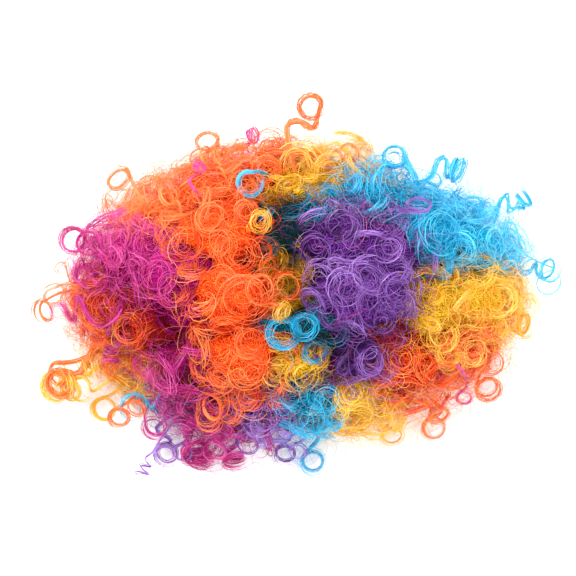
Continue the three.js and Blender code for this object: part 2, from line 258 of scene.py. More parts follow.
def tuft_ovals():
    """Where the tufts lie. In a space where the hair's reach is a ball of radius 1, a tuft is a
    ball that touches its lift times that radius, and one at the rim is drawn down to the table.
    Gives each tuft's direction, the middle of its ball, and its oval's middle and half sizes."""
    east, north, radius, lift = tufts.T
    up = np.sqrt(np.maximum(tuft_lowest**2, 1 - east**2 - north**2))
    out = np.stack([east, north, up], axis=-1)
    far = np.linalg.norm(out, axis=-1)
    core = unit(out) * (far * lift - radius)[:, None]
    middle = core.copy()
    half = np.repeat(radius[:, None], 3, axis=1)
    rim = np.hypot(east, north) > rim_from
    top = middle[:, 2] + radius
    half[rim, 2] = (top[rim] + rim_below_table) / 2
    middle[rim, 2] = (top[rim] - rim_below_table) / 2
    return unit(out), core * hair_reach, middle * hair_reach, half * hair_reach


tuft_direction, tuft_core, tuft_middle, tuft_half = tuft_ovals()


def seams_of(tuft):
    """The flat seams round a tuft, as directions square to them: each passes through the dome's
    centre half way between this tuft and a tuft of another patch."""
    other = tuft_direction[tuft_patch != tuft_patch[tuft]]
    return unit((tuft_direction[tuft] - other) / hair_reach)


def depth_in_cap(points, clearance):
    """How far out points are in the cap, grown by the clearance: 0 on its axis, 1 on its surface."""
    half = cap_half + clearance
    level = np.maximum(points[..., 2] - cap_foot, 0) / (half[2] - cap_foot)
    flat = np.hypot(points[..., 0] / half[0], points[..., 1] / half[1])
    return (flat**cap_fullness + level**cap_fullness) ** (1 / cap_fullness)


def out_of_cap(points, clearance):
    """Points that lie inside the cap, moved out to its surface: sideways beside the band, and
    away from the middle of the dome above it."""
    depth = depth_in_cap(points, clearance)
    grow = np.where(depth < 1, 1 / np.maximum(depth, 0.02), 1)
    above = np.maximum(points[..., 2] - cap_foot, 0)
    moved = points * grow[..., None]
    moved[..., 2] = np.where(above > 0, cap_foot + above * grow, points[..., 2])
    return moved


def ball_grid(rows, columns):
    """Directions over a ball and its faces: rows from pole to pole, each pole one point."""
    polar = np.linspace(0, np.pi, rows + 1)[1:-1, None]
    turn = np.linspace(0, 2 * np.pi, columns, endpoint=False)[None, :]
    belt = np.stack(
        [np.sin(polar) * np.cos(turn), np.sin(polar) * np.sin(turn), np.cos(polar) + 0 * turn], axis=-1)
    directions = np.concatenate([[[0, 0, 1.0]], belt.reshape(-1, 3), [[0, 0, -1.0]]])
    index = 1 + np.arange((rows - 1) * columns).reshape(rows - 1, columns)
    right = np.roll(index, -1, axis=1)
    quads = np.stack([index[:-1], index[1:], right[1:], right[:-1]], axis=-1).reshape(-1, 4)
    last = len(directions) - 1
    north = np.stack([np.zeros(columns, int), index[0], right[0]], axis=-1)
    south = np.stack([np.full(columns, last), right[-1], index[-1]], axis=-1)
    return directions, [quads, np.concatenate([north, south])]


def lumps(points, size, seed):
    """Smooth random relief from -1 to 1: many plane waves of about one length, added up."""
    rng = np.random.default_rng(seed)
    waves = rng.normal(size=(24, 3)) * 2 * np.pi / size
    phase = rng.uniform(0, 2 * np.pi, 24)
    return np.sin(points @ waves.T + phase).sum(axis=-1) / np.sqrt(24)


def tuft_body(tuft, sunk):
    """A tuft's surface: along each direction from its core it reaches its oval, or the nearest
    seam if that comes first, and it is draped over the cap and flat a little above the table.
    The core is clear of every seam."""
    directions, faces = ball_grid(tuft_rows, tuft_columns)
    core = tuft_core[tuft]
    oval = tuft_half[tuft] - sunk
    run = unit(directions * oval)
    offset = (core - tuft_middle[tuft]) / oval
    scaled = run / oval
    a = (scaled**2).sum(-1)
    b = scaled @ offset
    c = (offset**2).sum() - 1
    to_oval = (np.sqrt(b * b - a * c) - b) / a
    seams = seams_of(tuft)
    nearing = -(run @ seams.T)
    room = seams @ core - seam_gap / 2
    to_seam = np.where(nearing > 1e-6, room / np.maximum(nearing, 1e-6), np.inf).min(axis=1)
    points = core + run * np.minimum(to_oval, to_seam)[:, None]
    relief = np.where(to_oval < to_seam, tuft_relief * lumps(points, tuft_lump, seed=5), 0)
    points = out_of_cap(points + run * relief[:, None], cap_clearance)
    points[:, 2] = np.maximum(points[:, 2], under_hair_foot)
    return points, faces


# Fibre: one pair of finishes per dye. The fibre is extruded polypropylene, glossy and a little
# clear, so that light shines through thin curls. Felted fibre too fine to model is a pattern.
# Each dye runs from a painted shadow colour, for hair in shade, through deep and middle to light.
dye_colours_and_shadow = {
    "orange": ("#74080a", "#d62a0a", "#fb6414", "#ffae64"),
    "magenta": ("#540424", "#a80664", "#d01496", "#f46cc0"),
    "yellow": ("#7c4c06", "#dcaa10", "#ffd230", "#ffe98c"),
    "blue": ("#063038", "#0898bc", "#10c8f0", "#7ce8fa"),
    "purple": ("#200628", "#501a70", "#8643ac", "#c898e8"),
}
# Sizes of the felt's pattern, drawn coarser than real fibre: how far apart its curls are, the fibres
# in them, and the noise that stirs them. Then the stripes across a strip, and its drift in tone.
curl_spacing = 14 * mm
fibre_spacing = 1.3 * mm
stir_size = 7.143 * mm
stir_reach = 8 * mm
fibre_pitch = 0.36 * mm
drift_size = 6.25 * mm


def fibre_surface(tree, dye, tone, relief, roughness, shine, glow_share):
    """A fibre surface with a share of shine that lets some light through. Its colour is the dye's
    along a tone from 0 to 1: painted shadow, deep, middle and light."""
    shadow, deep, middle, light = dye_colours_and_shadow[dye]
    ramp = node(tree, "ShaderNodeValToRGB", inputs={"Fac": tone})
    stops = ramp.color_ramp.elements
    stops[0].color = linear(shadow)
    stops[1].color = linear(light)
    stops.new(0.25).color = linear(deep)
    stops.new(0.6).color = linear(middle)
    colour = ramp.outputs["Color"]
    gloss = node(tree, "ShaderNodeBsdfPrincipled", inputs={
        "Base Color": colour, "Roughness": roughness, "IOR": 1.49, "Specular IOR Level": shine, **relief})
    glow = node(tree, "ShaderNodeBsdfTranslucent", inputs={"Color": colour})
    mixed = node(tree, "ShaderNodeMixShader", inputs={
        0: glow_share, 1: gloss.outputs["BSDF"], 2: glow.outputs["BSDF"]})
    node(tree, "ShaderNodeOutputMaterial", inputs={"Surface": mixed.outputs["Shader"]})


def felted_finish(dye):
    """Felted fibre: rings of fine fibre round scattered middles, stirred by noise, show as relief
    and as lighter and darker lines."""
    material, tree, place = new_material(f"felted_polypropylene_{dye}")
    tone = node(tree, "ShaderNodeAttribute", {"attribute_name": "tone"}).outputs["Fac"]
    stir = node(tree, "ShaderNodeTexNoise", inputs={
        "Vector": place, "Scale": 1 / stir_size, "Detail": 2.0})
    stirred = node(tree, "ShaderNodeVectorMath", {"operation": "MULTIPLY_ADD"}, {
        0: stir.outputs["Color"], 1: (stir_reach, stir_reach, stir_reach), 2: place})
    curls = node(tree, "ShaderNodeTexVoronoi", inputs={
        "Vector": stirred.outputs[0], "Scale": 1 / curl_spacing})
    rings = node(tree, "ShaderNodeMath", {"operation": "MULTIPLY"}, {
        0: curls.outputs["Distance"], 1: curl_spacing / fibre_spacing * 2 * np.pi})
    fibres = node(tree, "ShaderNodeMath", {"operation": "SINE"}, {0: rings.outputs[0]})
    shift = node(tree, "ShaderNodeMath", {"operation": "MULTIPLY_ADD"}, {
        0: fibres.outputs[0], 1: 0.26, 2: tone})
    relief = node(tree, "ShaderNodeBump", inputs={
        "Height": fibres.outputs[0], "Strength": 0.6, "Distance": 0.4 * mm})
    fibre_surface(tree, dye, shift.outputs[0], {"Normal": relief.outputs["Normal"]}, 0.9, 0.1, 0.1)
    return material


def strand_finish(dye):
    """Fibres in flat strips: each strip has its own tone, which drifts a little along it, and
    stripes across it for the fibres that cling side by side."""
    material, tree, place = new_material(f"curled_polypropylene_{dye}")
    tone = node(tree, "ShaderNodeAttribute", {"attribute_name": "tone"}).outputs["Fac"]
    across = node(tree, "ShaderNodeAttribute", {"attribute_name": "across"}).outputs["Fac"]
    drift = node(tree, "ShaderNodeTexNoise", inputs={
        "Vector": place, "Scale": 1 / drift_size, "Detail": 1.0})
    phase = node(tree, "ShaderNodeMath", {"operation": "MULTIPLY"}, {
        0: across, 1: 2 * np.pi / fibre_pitch})
    fibres = node(tree, "ShaderNodeMath", {"operation": "SINE"}, {0: phase.outputs[0]})
    striped = node(tree, "ShaderNodeMath", {"operation": "MULTIPLY_ADD"}, {
        0: fibres.outputs[0], 1: 0.2, 2: tone})
    shift = node(tree, "ShaderNodeMath", {"operation": "MULTIPLY_ADD"}, {
        0: drift.outputs["Fac"], 1: 0.5, 2: striped.outputs[0]})
    centred = node(tree, "ShaderNodeMath", {"operation": "SUBTRACT"}, {0: shift.outputs[0], 1: 0.25})
    fibre_surface(tree, dye, centred.outputs[0], {}, 0.3, 0.55, 0.45)
    return material


felted = {dye: felted_finish(dye) for dye in dye_colours_and_shadow}
stranded = {dye: strand_finish(dye) for dye in dye_colours_and_shadow}


def dress(name, patch, dye, bodies, finishes, smooth):
    """A finished hair piece of one dye, from bodies of points, faces and marks, whose faces are
    counted on from body to body. On a patch it stands for that patch's solid."""
    starts = np.cumsum([0] + [len(points) for points, _, _ in bodies])
    merged = {}
    for start, (_, faces, _) in zip(starts, bodies):
        for face in faces:
            merged.setdefault(face.shape[1], []).append(face + start)
    points = np.concatenate([points for points, _, _ in bodies])
    faces = [np.concatenate(rows) for rows in merged.values()]
    marks = {mark: np.concatenate([body[2][mark] for body in bodies]) for mark in bodies[0][2]}
    piece = make_piece(name, points, faces, finishes[dye], smooth, marks)
    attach(piece, "root")
    if patch:
        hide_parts(f"hair_{patch}")
    return piece


photo_pixel = 0.66 * mm
photo_middle = np.array([292, 290])


def from_photo(pixels):
    """Places in plan, from points right and down in the photograph's pixels."""
    return (np.array(pixels, float) - photo_middle) * (photo_pixel, -photo_pixel)


# Painted shade over hollows where little light gets in, and painted light over thin stretches that
# the light shines through, as the photograph shows them from above: columns are right and down in
# its pixels, how far the painted shade reaches in pixels, and how dark it is, less than 0 where it
# is painted lighter.
painted_shade_and_light_spots = np.array([
    (284, 205, 17, 0.32), (287, 232, 17, 0.42), (292, 262, 14, 0.36), (296, 300, 12, 0.3),
    (322, 345, 15, 0.3), (345, 345, 22, 0.2), (335, 372, 12, 0.2), (165, 322, 24, 0.26),
    (185, 375, 13, 0.22), (150, 290, 22, 0.08), (421, 262, 11, 0.26), (416, 300, 14, 0.26),
    (398, 325, 14, 0.3), (376, 330, 11, 0.22), (268, 405, 12, 0.1), (318, 385, 12, 0.14),
    (200, 448, 10, 0.2), (130, 335, 22, 0.08), (320, 240, 12, 0.14), (298, 338, 10, 0.3),
    (140, 198, 44, -0.45), (215, 160, 38, -0.24), (505, 235, 36, -0.14), (350, 165, 20, 0.06),
    (60, 290, 30, -0.1), (485, 380, 26, -0.1)])


def painted_shade_and_light_at(points, patch):
    """How much darker hair is painted for its place, as painted shade, and lighter where it is painted
    light: deep in the dome, as a share of the hair's reach, deep in its own tufts, as a share of their
    ovals, in the hollows, where the painted shade and light fade with distance like a bell, and by the
    patch's own shift in tone, which in the valley is painted shade."""
    share = np.linalg.norm(points / hair_reach, axis=-1)
    tone = np.clip(1.1 * (share - 0.94), -0.35, 0.05) + patch_tone_and_valley_shade.get(patch, 0)
    if patch:
        own = np.flatnonzero(tuft_patch == patch_names.index(patch))
        level = np.linalg.norm((points[:, None] - tuft_middle[own]) / tuft_half[own], axis=-1).min(axis=1)
        tone = tone + np.clip(1.7 * (level - 0.97), -0.3, 0.12)
    far = np.linalg.norm(points[:, None, :2] - from_photo(painted_shade_and_light_spots[:, :2]), axis=-1)
    bell = np.exp(-((far / (painted_shade_and_light_spots[:, 2] * photo_pixel)) ** 2))
    return tone - bell @ painted_shade_and_light_spots[:, 3]


# The under-hair's tone for each dye, to which the painted shade and light for its place are added.
under_tone = {"orange": 0.58, "magenta": 0.54, "yellow": 0.68, "blue": 0.6, "purple": 0.42}
# A shift in tone for each patch: darker in the valley between the crowns, for blue_parting, yellow_parting
# and blue_centre, as painted shade, and elsewhere lighter or darker than the dye's usual tone.
patch_tone_and_valley_shade = {
    "blue_parting": -0.2, "yellow_parting": -0.08, "orange_left": -0.09, "purple_front": 0.36,
    "magenta_front": -0.15, "magenta_left": 0.03, "blue_front": -0.08, "blue_centre": -0.22}
for number, patch in enumerate(patch_names):
    dye = patch.split("_")[0]
    bodies = []
    for tuft in np.flatnonzero(tuft_patch == number):
        rim = np.clip(np.hypot(*tufts[tuft, :2]) - 0.55, 0, 0.3) / 0.3
        points, faces = tuft_body(tuft, under_hair_sunk + rim * under_hair_sunk_at_rim)
        # Painted shade and light for the place darken the under-hair.
        tone = under_tone[dye] + painted_shade_and_light_at(points, patch) + 0.06 * lumps(points, 30 * mm, seed=9)
        bodies.append((points, faces, {"tone": tone}))
    dress(f"under_hair_{patch}", patch, dye, bodies, felted, True)

# Ringlets and wisps
# A ringlet is a lock of fibres set on a thin rod with steam, so that it stands out of the tuft as
# a short coil. Between and over the ringlets, single fibres that kept the curl lie as wisps.
ringlet_spacing = 14.5 * mm
ringlet_radius = 8.5 * mm
ringlet_fibres = 16
shown_fibres = 24
ringlet_steps = 10
tight_share = 0.3
wave_fibres = 14
wave_steps = 12
# How far apart the points are that ringlets and single fibres are sown on.
ringlet_sowing = 4 * mm
fibre_sowing = 3 * mm
# Single fibres: how long they are and how tightly they bend, in mm, how far and how often they
# swing, how far they rise, in mm, their steps, and how much of the patch there is to each.
wisps = ((18, 36), (6, 12), (0.2, 1.0), (3, 7), (-3, 5), 9, 22.5 * mm * mm)
strays_at_foot = ((30, 50), (5, 9), (0.2, 1.0), (3, 7), (-0.5, 0.5), 10, 84 * mm * mm)
halo = ((26, 60), (7, 18), (0.3, 1.2), (3, 8), (-5, 5), 14, 60 * mm * mm)
wisp_thickness = (0.18 * mm, 0.36 * mm)
foot_thickness = (0.6 * mm, 1.2 * mm)
halo_thickness = (0.14 * mm, 0.24 * mm)
foot_height = 1.3 * mm
halo_reach = 16 * mm
# Strips of fibres that cling together, and how flat they are. Real single fibres are 0.08 mm thick.
strip_width = (0.22 * mm, 0.9 * mm)
loose_width = (0.34 * mm, 1.2 * mm)
strip_flat = 0.35
rim_waves = 60 * mm


def strands(paths, width, flat):
    """Closed strips with three sides, one along each path of points: a ring of corners stands
    square to the path at each step, wide and level, its height a share of its width, carried on
    from the last one so that it doesn't twist, and narrower towards the tip. Gives also how far
    across its strip each corner lies."""
    count, steps = paths.shape[:2]
    run = unit(np.gradient(paths, axis=1) + 1e-12)
    side = np.zeros_like(run)
    helper = np.where(np.abs(run[:, :1, 2:]) < 0.8, [[[0, 0, 1.0]]], [[[1.0, 0, 0]]])
    side[:, 0] = unit(np.cross(run[:, 0], helper[:, 0]))
    for step in range(1, steps):
        kept = side[:, step - 1]
        kept = kept - (kept * run[:, step]).sum(-1, keepdims=True) * run[:, step]
        side[:, step] = unit(kept)
    up = np.cross(run, side)
    roll = 0.6 * np.sin(2.4 * np.arange(count))[:, None, None]
    side, up = side * np.cos(roll) + up * np.sin(roll), up * np.cos(roll) - side * np.sin(roll)
    along = np.linspace(0, 1, steps)
    taper = np.clip(np.minimum(0.6 + along * 4, (1 - along) * 6), 0.25, 1)
    radius = (width[:, None] * taper / 2)[..., None, None]
    angle = np.arange(3) * 2 * np.pi / 3
    ring = side[:, :, None] * np.cos(angle)[:, None] + flat * up[:, :, None] * np.sin(angle)[:, None]
    points = (paths[:, :, None] + ring * radius).reshape(-1, 3)
    breadth = (width[:, None, None] / 2 * np.cos(angle) + np.zeros((1, steps, 1))).ravel()
    index = np.arange(count * steps * 3).reshape(count, steps, 3)
    after = np.roll(index, -1, axis=2)
    walls = np.stack([index[:, :-1], after[:, :-1], after[:, 1:], index[:, 1:]], axis=-1).reshape(-1, 4)
    ends = np.concatenate([index[:, 0, ::-1], index[:, -1]])
    return points, [walls, ends], breadth


def strip_widths(narrow, wide, count, rng):
    """Widths of strips of fibre that cling side by side: more narrow ones than wide ones."""
    return narrow + (wide - narrow) * rng.uniform(size=count) ** 1.7


def square_to(axes):
    """Two directions square to each axis and to each other."""
    helper = np.where(np.abs(axes[:, 2:]) < 0.9, [[0, 0, 1.0]], [[1.0, 0, 0]])
    first = unit(np.cross(helper, axes))
    return first, np.cross(axes, first)


def outside_of(number, spread, clear, sunk, rng):
    """Points spread over the outside of a patch and the directions square to it: even spirals of
    points on each tuft's oval, without those in another tuft, in the cap or under the table.
    Clear is how near to a seam a point may be, drawn for each point between two values, so
    that the colours run into each other."""
    found, normals = [], []
    for tuft in np.flatnonzero(tuft_patch == number):
        half = tuft_half[tuft] - sunk
        count = int(4 * np.pi * (half**1.6).mean() ** 1.25 / spread**2)
        turn = np.arange(count) * np.pi * (3 - np.sqrt(5))
        level = 1 - 2 * (np.arange(count) + 0.5) / count
        ball = np.stack(
            [np.cos(turn) * np.sqrt(1 - level**2), np.sin(turn) * np.sqrt(1 - level**2), level], axis=-1)
        points = tuft_middle[tuft] + ball * half
        kept = (points @ seams_of(tuft).T).min(axis=1) > rng.uniform(*clear, count)
        kept &= points[:, 2] > 3 * mm
        kept &= depth_in_cap(points, 5 * mm) >= 1
        for other in np.flatnonzero(tuft_patch == number):
            if other != tuft:
                nearer = (points - tuft_middle[other]) / (tuft_half[other] - sunk)
                kept &= (nearer**2).sum(-1) > 1
        found.append(points[kept])
        normals.append(unit(ball / half)[kept])
    return np.concatenate(found), np.concatenate(normals)


def thin_out(points, taken, spacing, rng):
    """Indexes of points at least the spacing apart from each other and from the places taken,
    in random order."""
    kept = []
    for index in rng.permutation(len(points)):
        others = np.concatenate([points[kept], taken])
        if len(others) == 0 or np.linalg.norm(others - points[index], axis=-1).min() >= spacing:
            kept.append(index)
    return np.array(kept, int)


def coils(foot, axis, radius, turns, pitch, start, widening, steps):
    """Lines that climb along their axes while they turn, and grow wider or narrower on the way by
    a share of their radius, with the direction outward from the axis at each point. A coil with
    negative turns winds backwards."""
    first, second = square_to(axis)
    along = np.linspace(0, 1, steps)[None, :]
    angle = start[:, None] + 2 * np.pi * turns[:, None] * along
    out = first[:, None] * np.cos(angle)[..., None] + second[:, None] * np.sin(angle)[..., None]
    wide = radius[:, None] * (1 + widening[:, None] * (along - 0.5))
    high = (pitch * np.abs(turns))[:, None] * along
    line = foot[:, None] + axis[:, None] * high[..., None] + out * wide[..., None]
    return line, out


def waves(foot, up, heading, length, bend, swing, beat, rise, steps):
    """Lines that lie round their feet: the heading turns at a steady rate, once round in a bend's
    circle, and swings about it, so that they run in hooks, loops and waves. They rise midway."""
    first, second = square_to(up)
    along = np.linspace(0, 1, steps)[None, :]
    course = heading[:, None] + (length / bend)[:, None] * along
    course = course + swing[:, None] * np.sin(beat[:, None] * along + 3 * heading[:, None])
    stride = (length / (steps - 1))[:, None]
    east = np.cumsum(np.cos(course) * stride, axis=1)
    north = np.cumsum(np.sin(course) * stride, axis=1)
    east = east - east.mean(axis=1, keepdims=True)
    north = north - north.mean(axis=1, keepdims=True)
    high = rise[:, None] * np.sin(np.pi * along)
    return (
        foot[:, None]
        + first[:, None] * east[..., None]
        + second[:, None] * north[..., None]
        + up[:, None] * high[..., None]
    )


def hooks(bend, count, rng):
    """The radius that each fibre bends to, drawn between two values in mm, to either side."""
    return rng.uniform(*bend, count) * mm * rng.choice([-1.0, 1.0], count)


def fibre_waves(kind, foot, up, rng, bend=None):
    """Single fibres of a kind, in waves round their feet."""
    length, bends, swing, beat, rise, steps, _ = kind
    count = len(foot)
    heading = rng.uniform(0, 2 * np.pi, count)
    length = rng.uniform(*length, count) * mm
    bend = hooks(bends, count, rng) if bend is None else bend
    swing = rng.uniform(*swing, count)
    beat = rng.uniform(*beat, count)
    return waves(foot, up, heading, length, bend, swing, beat, rng.uniform(*rise, count) * mm, steps)


def lock_body(paths, tone, width, flat, patch):
    """Strips of fibre along paths, with the marks at each of their points. Hair that would go into
    the cap or the table lies on it instead."""
    paths = out_of_cap(paths, 1 * mm)
    paths[..., 2] = np.maximum(paths[..., 2], 0.7 * mm)
    points, faces, breadth = strands(paths, width, flat)
    # Each point's tone takes the painted shade and light for its place.
    shaded = np.repeat(tone, paths.shape[1] * 3) + painted_shade_and_light_at(points, patch)
    return points, faces, {"tone": shaded, "across": breadth}


def whorl_paths(points, lean, radius, tight, fibres, rng):
    """Ringlets round axes that lean out of their points. In a tight ring the fibres run side by
    side; in an open whorl each turns at its own radius from its own start, and winds out or in."""
    count = len(points)
    total = count * fibres
    each = lambda values: np.repeat(values, fibres, axis=0)
    hand = rng.choice([-1.0, 1.0], count)
    is_tight = each(tight)
    turns = each(hand) * np.where(is_tight, rng.uniform(0.7, 1.05, total), rng.uniform(0.3, 0.8, total))
    start = each(rng.uniform(0, 2 * np.pi, count)) + np.where(is_tight, 1.3, 1.6) * rng.normal(size=total)
    uneven = np.where(is_tight, 0.1, 0.26) * rng.normal(size=total)
    own_radius = each(radius) * np.clip(0.93 + uneven, 0.25, 1.25)
    widening = np.where(is_tight, 0.1, 0.4) * rng.normal(size=total)
    axis = unit(each(lean) + np.where(is_tight, 0.08, 0.16)[:, None] * rng.normal(size=(total, 3)))
    foot = each(points - lean * 2.5 * mm) + rng.normal(size=(total, 3)) * 1.3 * mm
    pitch = rng.uniform(1.5, 6, total) * mm
    return coils(foot, axis, own_radius, turns, pitch, start, widening, ringlet_steps)[0]


def rim_offsets(points, normals, reach, rng):
    """How far hair at the rim stands out beside its patch: level steps outward, drawn between
    two lengths, which fade to nothing where the hair faces up and come and go along the rim."""
    outward = unit(normals * [1, 1, 0.25])
    share = np.clip(1.2 - 2 * normals[:, 2:], 0, 1) * (0.75 + 0.45 * lumps(points, rim_waves, 31)[:, None])
    return outward * share * rng.uniform(*reach, (len(normals), 1))


def locks_of(paths, fibres, painted_light, patch, dye, rng):
    """Locks on a patch. The tone of a fibre is that of its dye, a shift that its whole lock shares,
    its own shift, and painted light: how much lighter these locks are painted."""
    shared = np.repeat(0.6 * dye_contrast[dye] * rng.normal(size=len(paths) // fibres), fibres)
    own = 0.65 * dye_contrast[dye] * rng.normal(size=len(paths))
    tone = dye_tone[dye] + shared + own + painted_light
    return lock_body(paths, tone, strip_widths(*strip_width, len(paths), rng), strip_flat, patch)


def wave_paths(points, normals, fibres, rng):
    """Locks that lie over the hair in hooks and waves, their fibres nearly side by side."""
    count = len(points)
    total = count * fibres
    near = lambda values, share: np.repeat(values, fibres) * (1 + share * rng.normal(size=total))
    up = unit(normals + 0.35 * rng.normal(size=(count, 3)))
    hand = rng.choice([-1.0, 1.0], count)
    heading = np.repeat(rng.uniform(0, 2 * np.pi, count), fibres) + 0.05 * rng.normal(size=total)
    foot = np.repeat(points, fibres, axis=0) + rng.normal(size=(total, 3)) * 1.2 * mm
    return waves(
        foot, np.repeat(up, fibres, axis=0), heading, near(rng.uniform(30, 52, count) * mm, 0.08),
        near(rng.uniform(7, 13, count) * mm * hand, 0.07), near(rng.uniform(0.2, 1.3, count), 0.08),
        near(rng.uniform(4, 8, count), 0), near(rng.uniform(1, 6, count) * mm, 0.15), wave_steps)


def oval_tops(places, otherwise):
    """How high each tuft's oval reaches over places in plan, or another height where it doesn't."""
    gap = (places[:, None] - tuft_middle[:, :2]) / tuft_half[:, :2]
    left = np.maximum(1 - (gap**2).sum(axis=-1), 0)
    return np.where(left > 0, tuft_middle[:, 2] + tuft_half[:, 2] * np.sqrt(left), otherwise)


def surface_at(place, own):
    """The top of the hair over a place in plan and the direction square to it: the highest there
    of a patch's own ovals, or of all of them if none of its own lies below."""
    among = own if oval_tops(place[None], 0)[0, own].max() > 0 else np.arange(len(tufts))
    height = oval_tops(place[None], tuft_middle[:, 2] * 0.4)[0, among]
    highest = among[np.argmax(height)]
    point = np.array([*place, height.max()])
    return point, unit((point - tuft_middle[highest]) / tuft_half[highest] ** 2)


# Ringlets that stand out, where the photograph shows them: columns are right and down in its
# pixels, and the radius in pixels. A negative radius is a tight ring.
shown_ringlets = {
    "orange_crown": [
        (213, 220, 15), (241, 255, 17), (190, 243, 15), (195, 270, -14), (205, 300, 15), (245, 300, 20),
        (225, 325, -12), (197, 345, 20), (251, 369, 16), (222, 375, -12), (248, 213, -10), (262, 288, 13),
        (213, 400, 15), (228, 410, 13), (246, 396, 12), (208, 418, 11), (252, 340, 14), (226, 282, 12),
        (250, 395, 13), (222, 245, 12)],
    "orange_back": [
        (240, 152, 17), (212, 188, 18), (175, 217, -10), (170, 198, 11), (268, 168, 13),
        (243, 185, 13), (140, 200, 12)],
    "yellow_parting": [(261, 224, 10), (270, 243, 10), (278, 262, 9), (284, 288, 13)],
    "yellow_centre": [(303, 375, 17), (276, 372, 12), (283, 312, -9)],
    "blue_centre": [(283, 332, -15), (304, 324, -12), (315, 350, -12)],
    "blue_parting": [(290, 253, 8), (330, 203, 12), (290, 212, 12)],
    "purple_crown": [
        (318, 277, 16), (345, 287, 15), (366, 276, 21), (392, 291, 20), (386, 224, 18), (386, 250, 12),
        (340, 226, 17), (357, 212, 12), (330, 313, 12), (368, 358, -15), (347, 332, 14), (314, 250, 12),
        (380, 318, 13)],
    "yellow_back": [(300, 165, 18), (330, 172, 15), (287, 184, 12)],
    "blue_right": [
        (440, 234, 19), (470, 207, 17), (457, 250, 14), (495, 238, 17), (505, 256, 11), (380, 186, 17),
        (352, 184, -11), (487, 258, 11), (410, 192, 13), (430, 196, 12), (380, 170, 13)],
    "yellow_right": [
        (447, 354, -12), (500, 300, 14), (480, 340, 12), (455, 362, 11), (470, 322, 14), (494, 327, 13),
        (442, 336, 13), (474, 354, 12), (505, 342, 11)],
    "orange_right": [(400, 354, 14), (440, 377, 17), (471, 345, 13), (425, 397, 14), (478, 362, 11)],
    "yellow_front": [(355, 420, 18), (394, 426, -12), (352, 392, 12), (340, 405, 10)],
    "blue_front": [(308, 416, 19), (325, 400, 12), (318, 436, 11)],
    "purple_front": [(266, 421, 16), (250, 428, 12), (285, 405, 12)],
    "magenta_front": [(165, 374, 20), (196, 452, -13), (219, 432, -12), (185, 425, 12), (168, 402, 13)],
    "magenta_left": [
        (115, 239, 14), (115, 257, -10), (160, 275, 17), (138, 268, 14), (175, 291, 13), (150, 244, 15),
        (145, 222, 13)],
    "orange_left": [
        (104, 308, 18), (100, 352, 13), (130, 330, 14), (145, 367, 14), (75, 300, 10),
        (122, 370, 14), (106, 366, 11)],
    "yellow_left": [(80, 372, 10), (62, 385, 12)],
}
# What most patches have, where the tables below give nothing else.
usual_overhang = 3 * mm
usual_reach = 8 * mm
usual_ringlets = 0.6
# How far, at most, a patch's hair reaches over a seam: the two crowns hang over the valley.
overhang = {"orange_crown": 13 * mm, "purple_crown": 11 * mm, "yellow_right": 10 * mm}
# How many more wisps a patch has than its area alone gives it: the fluffy hair at the right.
more_wisps = {"yellow_right": 1.4}
# What share of a patch's locks are ringlets, where the photograph shows more of them as waves.
ringlet_share = {"yellow_right": 0.12, "yellow_back": 0.3, "yellow_front": 0.4, "orange_right": 0.45}
# Ringlets in the valley that lie on top of the hair that hangs over it.
raised = {"blue_centre": 6 * mm, "yellow_parting": 1 * mm}
# How far, at most, the locks at the rim stand out beside the patch, where it is more than usual.
reach_out = {
    "magenta_left": 10 * mm, "orange_left": 11 * mm, "yellow_left": 17 * mm, "magenta_front": 18 * mm,
    "purple_side": 17 * mm, "purple_front": 14 * mm, "blue_right": 10 * mm, "orange_back": 8 * mm}
# Single fibres of other colours that stray over a patch: the dye and its share of the wisps.
strays = {
    "orange_crown": {"yellow": 0.03},
    "purple_crown": {"magenta": 0.08},
    "blue_parting": {"orange": 0.12, "yellow": 0.15, "purple": 0.12},
    "yellow_parting": {"orange": 0.3, "blue": 0.1},
    "yellow_centre": {"orange": 0.15, "blue": 0.08},
    "blue_centre": {"yellow": 0.12, "purple": 0.15},
    "orange_back": {"yellow": 0.06, "magenta": 0.03},
    "yellow_back": {"orange": 0.18},
    "yellow_right": {"orange": 0.15},
    "orange_right": {"yellow": 0.15, "magenta": 0.06},
    "yellow_front": {"orange": 0.2},
    "blue_front": {"yellow": 0.06},
    "purple_front": {"magenta": 0.2},
    "magenta_front": {"purple": 0.12, "orange": 0.1},
    "purple_side": {"magenta": 0.2, "blue": 0.1},
    "yellow_left": {"orange": 0.35, "blue": 0.08},
    "orange_left": {"magenta": 0.55, "yellow": 0.03},
    "magenta_left": {"orange": 0.1},
}
stray_hair = {dye: [] for dye in dye_colours_and_shadow}
dye_tone = {"orange": 0.62, "magenta": 0.63, "yellow": 0.62, "blue": 0.62, "purple": 0.6}
dye_contrast = {"orange": 0.12, "magenta": 0.17, "yellow": 0.08, "blue": 0.13, "purple": 0.17}
